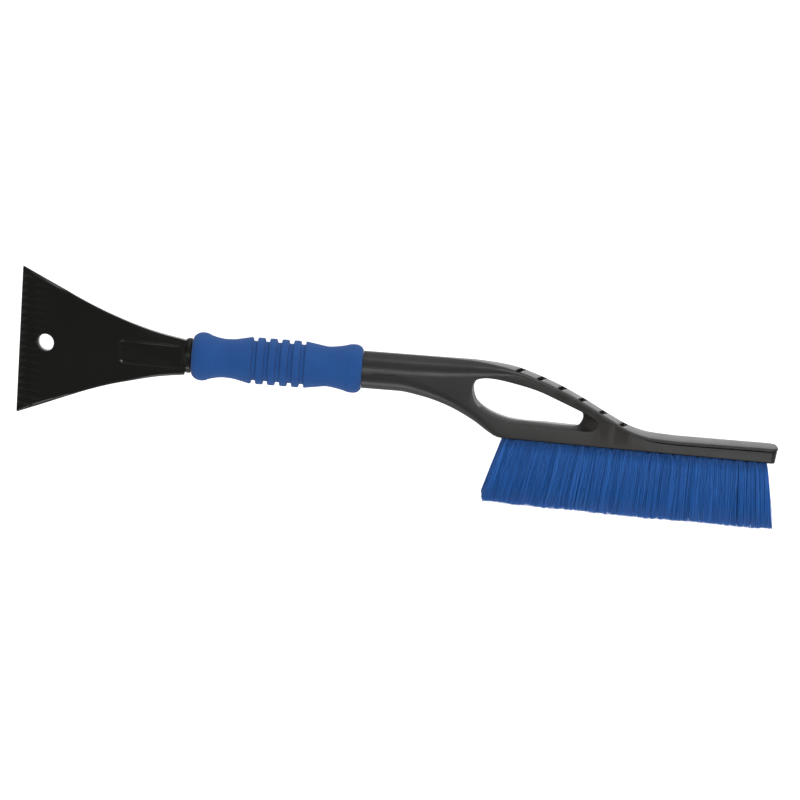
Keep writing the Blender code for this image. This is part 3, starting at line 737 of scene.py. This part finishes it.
# %% Hang hole
HOLE = 6.6
HOLE_RIM = 1.0
HOLE_DISTANCE = HEAD - 21
hole_form = start_piece("hole_form")
slope = math.atan2(smooth(DROPS, HOLE_DISTANCE - 1) - smooth(DROPS, HOLE_DISTANCE + 1), 2)
hole_place = Matrix.Translation(spot(HEAD_START - HOLE_DISTANCE, 0, smooth(DROPS, HOLE_DISTANCE)))
hole_place = hole_place @ Matrix.Rotation(-slope, 4, "Y")
half = smooth(DEPTHS, HOLE_DISTANCE)
for height, wider in ((-half - 4, 1.6), (-half, 1.0), (-half + 0.3, 0.45), (-half + 1, 0.1), (0, 0),
                      (half - 1, 0.1), (half - 0.3, 0.45), (half, 1.0), (half + 4, 1.6)):
    circle = arc((0, 0), HOLE + wider * HOLE_RIM, 0, 360 - 360 / 64, 63)
    draw_line([hole_place @ (Vector((a, b, height)) * MM) for a, b in circle], closed=True)
bpy.ops.mesh.select_all(action="SELECT")
bpy.ops.mesh.bridge_edge_loops()
for end in (-1, 1):
    pick("EDGE", lambda edge: (
        len(edge.link_faces) == 1 and end * (middle(edge).z - hole_place.translation.z) > 0))
    bpy.ops.mesh.edge_face_add()
close_up()
carve(head, hole_form)
settle(head, "scraper_head", gloss_black, 32)

# %% [markdown]
# ## The foam sleeve
#
# The sleeve is turned closed-cell foam, fat at both ends with five grooves near its middle. A
# profile is drawn and spun round the axis. Foam has no sharp corners, so each groove's edges
# are rounded in the profile itself.

# %% Blue foam
blue_foam = new_finish("blue_foam", Roughness=0.9, Specular_IOR_Level=0.25, Sheen_Weight=0.05,
                       Sheen_Roughness=0.5)
tint(blue_foam, grain(blue_foam, 40, 4), ((0.013, 0.060, 0.212), (0.0168, 0.073, 0.24)))
relief(blue_foam, grain(blue_foam, 1500, 4), 0.10, 0.5)
relief(blue_foam, grain(blue_foam, 110, 3), 0.25, 0.3)
print("finish", blue_foam.name)

# %% Sleeve
GRIP_BULGE = 18.7
GRIP_WAIST = 14.9
GRIP_RING = 18.0
GROOVES = 5
GROOVE_START = 45.4
GROOVE_PITCH = 9.2
GROOVE_WIDTH = 4.4
GROOVE_DEPTH = 2.8


def sleeve_outline():
    """The sleeve's outer side from its scraper end, as distance along it and radius."""
    bulge, waist, ring = GRIP_BULGE, GRIP_WAIST, GRIP_RING
    last = GROOVE_START + (GROOVES - 1) * GROOVE_PITCH + GROOVE_WIDTH
    end = SLEEVE - GAP
    left_end = ((0, waist - 1.4), (0.5, waist + 0.1), (1.4, waist + 1.2), (3.6, bulge - 1),
                (6.8, bulge - 0.1), (9.6, bulge - 0.2), (14, bulge - 1.8), (19.5, waist + 0.6),
                (25, waist), (31, waist + 0.3), (38, waist + 1.6), (GROOVE_START - 1.2, ring - 0.1))
    right_end = ((last + 1.2, ring - 0.3), (last + (end - last) * 0.22, waist + 1.5),
                 (last + (end - last) * 0.4, waist + 0.5), (end - 20, waist + 1.2), (end - 14, bulge - 1.4),
                 (end - 9, bulge - 0.1), (end - 5.6, bulge), (end - 2.4, bulge - 0.9), (end - 0.8, bulge - 2.4),
                 (end, waist + 0.2))
    outline = [left_end[0]]
    steps = 34
    places = (left_end[-1][0] * (i / steps) ** 1.3 for i in range(1, steps + 1))
    outline += [(x, smooth(left_end, x)) for x in places]
    for i in range(GROOVES):
        left = GROOVE_START + i * GROOVE_PITCH
        right = left + GROOVE_WIDTH
        top = ring - 0.1
        floor = ring - GROOVE_DEPTH
        outline += arc((left - 0.5, top - 0.9), 0.9, 90, 0, 4)
        outline += arc((left + 0.4 + 0.9, floor + 0.9), 0.9, 180, 270, 4)
        outline += arc((right - 0.4 - 0.9, floor + 0.9), 0.9, 270, 360, 4)
        outline += arc((right + 0.5, top - 0.9), 0.9, 180, 90, 4)
        if i < GROOVES - 1:
            outline += [((right + left + GROOVE_PITCH) / 2, ring)]
    span = end - right_end[0][0]
    places = (end - span * (1 - i / steps) ** 1.3 for i in range(steps + 1))
    outline += [(x, smooth(right_end, x)) for x in places]
    return outline


bore = SPIGOT + 1.5 * GAP
profile = sleeve_outline()
profile += [(profile[-1][0], bore), (0, bore), profile[0]]
sleeve = start_piece("foam_sleeve")
draw_line([spot(x - SLEEVE, 0, radius) for x, radius in profile])
bpy.ops.mesh.select_all(action="SELECT")
bpy.ops.mesh.spin(steps=128, angle=2 * math.pi, center=SHOULDER, axis=(1, 0, 0))
close_up()
settle(sleeve, "foam_grip", blue_foam, 60)

# %% [markdown]
# ## The head pin
#
# The pin through the spigot and the tang is hidden under the sleeve. Its node keeps its shape
# and gets a drawn steel finish.

# %% Steel
drawn_steel = new_finish("drawn_steel", Metallic=1.0)
tint(drawn_steel, grain(drawn_steel, 400, 3, (1, 1, 0.05)), ((0.50, 0.51, 0.53), (0.60, 0.61, 0.62)))
vary_roughness(drawn_steel, grain(drawn_steel, 900, 3, (1, 1, 0.05)), 0.25, 0.4)
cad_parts["head_pin"].data.materials.clear()
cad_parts["head_pin"].data.materials.append(drawn_steel)
print("finish", drawn_steel.name)

# %% [markdown]
# ## The brush
#
# Each tuft is a bundle of blue plastic strands folded into a hole in the block. The strands
# stand close at the root, where dark gaps show between tufts, and fan out until they meet. The
# outermost columns lean outwards. One strand is modelled from a three-sided bar, and every
# strand of a column is a copy that is bent to its own root, tip and length. Every strand's colour
# is painted darker towards its root, as painted shade under the block and between the tufts.

# %% Blue bristle
blue_bristle = new_finish("blue_bristle", Roughness=0.42, Specular_IOR_Level=0.5)
tone_and_painted_shade = blue_bristle.node_tree.nodes.new("ShaderNodeAttribute")
tone_and_painted_shade.attribute_name = "tone_and_painted_shade"
# The darkest tone is painted shade for the strands' roots; the other two are the bristles' own blue.
bristle_tones_and_root_shade = ((0.004, 0.022, 0.08), (0.019, 0.119, 0.42), (0.031, 0.165, 0.54))
tint(blue_bristle, tone_and_painted_shade.outputs["Fac"], bristle_tones_and_root_shade, (0.0, 1.0))
print("finish", blue_bristle.name)

# %% One strand
STRAND_RADIUS = 0.22
STRAND_BENDS = (0.04, 0.1, 0.2, 0.55)

bpy.ops.object.select_all(action="DESELECT")
bpy.ops.mesh.primitive_cylinder_add(vertices=3, radius=STRAND_RADIUS * MM, depth=1, location=(0, 0, 0.5))
strand = bpy.context.object
strand.name = "strand"
bpy.ops.object.transform_apply(location=True, rotation=True, scale=True)
bpy.ops.object.mode_set(mode="EDIT")
for bend in STRAND_BENDS:
    bpy.ops.mesh.select_all(action="SELECT")
    bpy.ops.mesh.bisect(plane_co=(0, 0, bend), plane_no=(0, 0, 1))
pick("VERT", lambda corner: corner.co.z > 0.99)
bpy.ops.transform.resize(value=(0.9, 0.9, 1), center_override=(0, 0, 1))
close_up(0.000001)
strand_points = np.array([corner.co for corner in strand.data.vertices])
strand_faces = [tuple(face.vertices) for face in strand.data.polygons]
bpy.data.objects.remove(strand, do_unlink=True)
print("strand", len(strand_points), "corners,", len(strand_faces), "faces")

# %% Tuft sizes
COLUMNS = 22
ROWS = 4
FIRST_TUFT = 3.2
TUFT_PITCH = 9.4
ROW_PITCH = 4.8
ROOT_RADIUS = 1.8
ROOT_SUNK = 1.5
BRISTLE = 52
# How far up each strand, as a share of its length, the painted root shade reaches.
PAINTED_SHADE_REACH = 0.2
FAN_START = 10.2
FAN_END = 6.4
FAN_DEPTH = 17.6
STRANDS = 220
BRUSH_PLACE = Matrix.Translation(spot(BRUSH_START, BRUSH_FACE)) @ Matrix.Rotation(-BRUSH_TILT, 4, "Z")


def strand_copy(chance, root, fan, lean, reach, straight):
    """The strand's corners bent from its root to its tip, in the brush's own millimetres."""
    ready = np.zeros_like(strand_points)
    t = strand_points[:, 2]
    twist = chance.uniform(0, 2 * math.pi)
    across = np.stack([np.cos(twist) * strand_points[:, 0] - np.sin(twist) * strand_points[:, 1],
                       np.sin(twist) * strand_points[:, 0] + np.cos(twist) * strand_points[:, 1]], 1) / MM
    spread = 1.055 * t / (t + 0.055)
    wave = np.sin(t * chance.uniform(4, 9) + chance.uniform(0, 6)) * t * chance.uniform(0.1, 0.45)
    heading = chance.uniform(0, 2 * math.pi)
    flare = t if straight else spread
    ready[:, 0] = root[0] + lean * t + fan[0] * flare + wave * math.cos(heading) + across[:, 0]
    ready[:, 1] = root[1] - reach * t
    ready[:, 2] = root[2] + fan[1] * spread + wave * math.sin(heading) + across[:, 1]
    return ready


def make_column(column, chance):
    """One column of tufts, with a random tone on every strand and painted shade towards its root."""
    x = FIRST_TUFT + column * TUFT_PITCH
    share = column / (COLUMNS - 1)
    lean = FAN_END * share - FAN_START * (1 - share)
    reach = math.sqrt(BRISTLE**2 - lean**2)
    tip_pitch = TUFT_PITCH + (FAN_START + FAN_END) / (COLUMNS - 1)
    points, strand_tones_and_shade = [], []
    # Painted shade: each strand's colour is darkened towards its root, for the shade under the block and
    # between the tufts.
    painted_root_shade = 0.28 + 0.72 * np.minimum(1, strand_points[:, 2] / PAINTED_SHADE_REACH)
    for row in range(ROWS):
        z = (row - (ROWS - 1) / 2) * ROW_PITCH
        tip_z = (row - (ROWS - 1) / 2) * 2 * FAN_DEPTH / ROWS
        drift = chance.uniform(-0.35, 0.35)
        tuft_trim = chance.uniform(-0.012, 0.008)
        tuft_shade = chance.gauss(0, 0.03)
        for _ in range(STRANDS):
            side, deep = chance.uniform(-1, 1), chance.uniform(-1, 1)
            root_x = x + ROOT_RADIUS * side * math.sqrt(1 - deep * deep / 2)
            root_z = z + ROOT_RADIUS * deep * math.sqrt(1 - side * side / 2)
            outer = (column == 0 and side < 0) or (column == COLUMNS - 1 and side > 0)
            side = (1.02 if outer else 1.3) * side + chance.gauss(0, 0.04 if outer else 0.2)
            deep = max(-1.1, min(1.1, deep + chance.gauss(0, 0.12)))
            fan = (x + drift + side * tip_pitch / 2 - root_x, tip_z + deep * FAN_DEPTH / ROWS - root_z)
            trim = 1 + tuft_trim - 0.008 * (side * side + deep * deep) + chance.gauss(0, 0.008)
            strand = strand_copy(chance, (root_x, ROOT_SUNK, root_z), fan, lean, reach * trim, outer)
            points.append(strand)
            strand_tones_and_shade.append((0.56 + tuft_shade + chance.gauss(0, 0.08)) * painted_root_shade)
    count = len(strand_points)
    strand_tones_and_shade = np.clip(np.concatenate(strand_tones_and_shade), 0, 1)
    corners = np.concatenate(points) * MM
    faces = [tuple(i + k * count for i in face) for k in range(len(points)) for face in strand_faces]
    mesh = bpy.data.meshes.new("bristles_%02d" % (column + 1))
    mesh.from_pydata(corners.tolist(), [], faces)
    mesh.transform(BRUSH_PLACE)
    # The attribute holds each strand's random tone times the painted root shade.
    mesh.attributes.new("tone_and_painted_shade", "FLOAT", "POINT").data.foreach_set("value", strand_tones_and_shade)
    piece = bpy.data.objects.new(mesh.name, mesh)
    bpy.context.collection.objects.link(piece)
    return piece


# %% All columns
for column in range(COLUMNS):
    bristles = make_column(column, random.Random(100 + column))
    settle(bristles, "tuft_column_%02d" % (column + 1), blue_bristle, 180)

# %% [markdown]
# ## Floor and light
#
# The tool lies on a plain pale floor. The floor glows by itself and is left out of mirror
# reflections, so that edges seen at a low angle stay dark; that is a studio trick, not how a real
# floor behaves. Three wide panels light the tool without being mirrored in it. Two small panels
# overhead and two low ones behind and in front draw its highlights. The surroundings are grey,
# and brightest straight below.

# %% Floor
floor_white = new_finish("floor_white", Roughness=0.9, Specular_IOR_Level=0.1, Emission_Strength=1.0)
floor_white.node_tree.nodes["Principled BSDF"].inputs["Emission Color"].default_value = (1, 1, 1, 1)
tint(floor_white, grain(floor_white, 3, 2), ((0.40, 0.40, 0.40), (0.42, 0.42, 0.42)))
bpy.ops.object.select_all(action="DESELECT")
bpy.ops.mesh.primitive_plane_add(size=12, location=(0, 0, 0))
floor = bpy.context.object
floor.name = "floor"
floor.data.materials.append(floor_white)
floor.visible_glossy = False
print("floor", floor.dimensions[:])

# %% Light
def soft_panel(name, place, wide, tall, power, mirrored=True):
    """A soft light panel at a place, turned to face the tool."""
    light = bpy.data.lights.new(name, "AREA")
    light.shape = "RECTANGLE"
    light.size = wide
    light.size_y = tall
    light.energy = power
    panel = bpy.data.objects.new(name, light)
    panel.location = place
    panel.visible_glossy = mirrored
    panel.rotation_euler = (-Vector(place)).to_track_quat("-Z", "Y").to_euler()
    bpy.context.collection.objects.link(panel)


soft_panel("panel_back", (0, 2.2, 1.8), 3.0, 1.2, 25, mirrored=False)
soft_panel("panel_front", (0, -2.2, 1.8), 3.0, 1.2, 25, mirrored=False)
soft_panel("panel_over", (0, 0.2, 2.6), 2.0, 2.0, 45, mirrored=False)
soft_panel("panel_top", (0.1, 0.42, 2.2), 0.6, 0.35, 3.6)
soft_panel("panel_low", (0.75, -0.5, 2.2), 0.7, 0.5, 2.6)
soft_panel("panel_back_low", (1.05, 2.3, 0.5), 1.9, 0.5, 14)
soft_panel("panel_front_low", (0.5, -2.4, 0.4), 2.6, 0.5, 11)
SURROUND = ((0.0, 1.0), (0.014, 0.9), (0.035, 0.19), (0.3, 0.26), (0.52, 0.24), (0.7, 0.08),
            (1.0, 0.055))
SURROUND_STRENGTH = 1.5
world = bpy.data.worlds.new("studio")
world.use_nodes = True
surround = world.node_tree
direction = surround.nodes.new("ShaderNodeTexCoord")
split = surround.nodes.new("ShaderNodeSeparateXYZ")
height = surround.nodes.new("ShaderNodeMapRange")
height.inputs["From Min"].default_value = -1
tones = surround.nodes.new("ShaderNodeValToRGB")
for place, _ in SURROUND[1:-1]:
    tones.color_ramp.elements.new(place)
for element, (place, value) in zip(tones.color_ramp.elements, SURROUND):
    element.position = place
    element.color = (value, value, value, 1)
surround.links.new(direction.outputs["Generated"], split.inputs["Vector"])
surround.links.new(split.outputs["Z"], height.inputs["Value"])
surround.links.new(height.outputs["Result"], tones.inputs["Fac"])
surround.links.new(tones.outputs["Color"], surround.nodes["Background"].inputs["Color"])
surround.nodes["Background"].inputs["Strength"].default_value = SURROUND_STRENGTH
bpy.context.scene.world = world
bpy.context.scene.view_settings.view_transform = "Standard"
print("lights", len(bpy.data.lights))
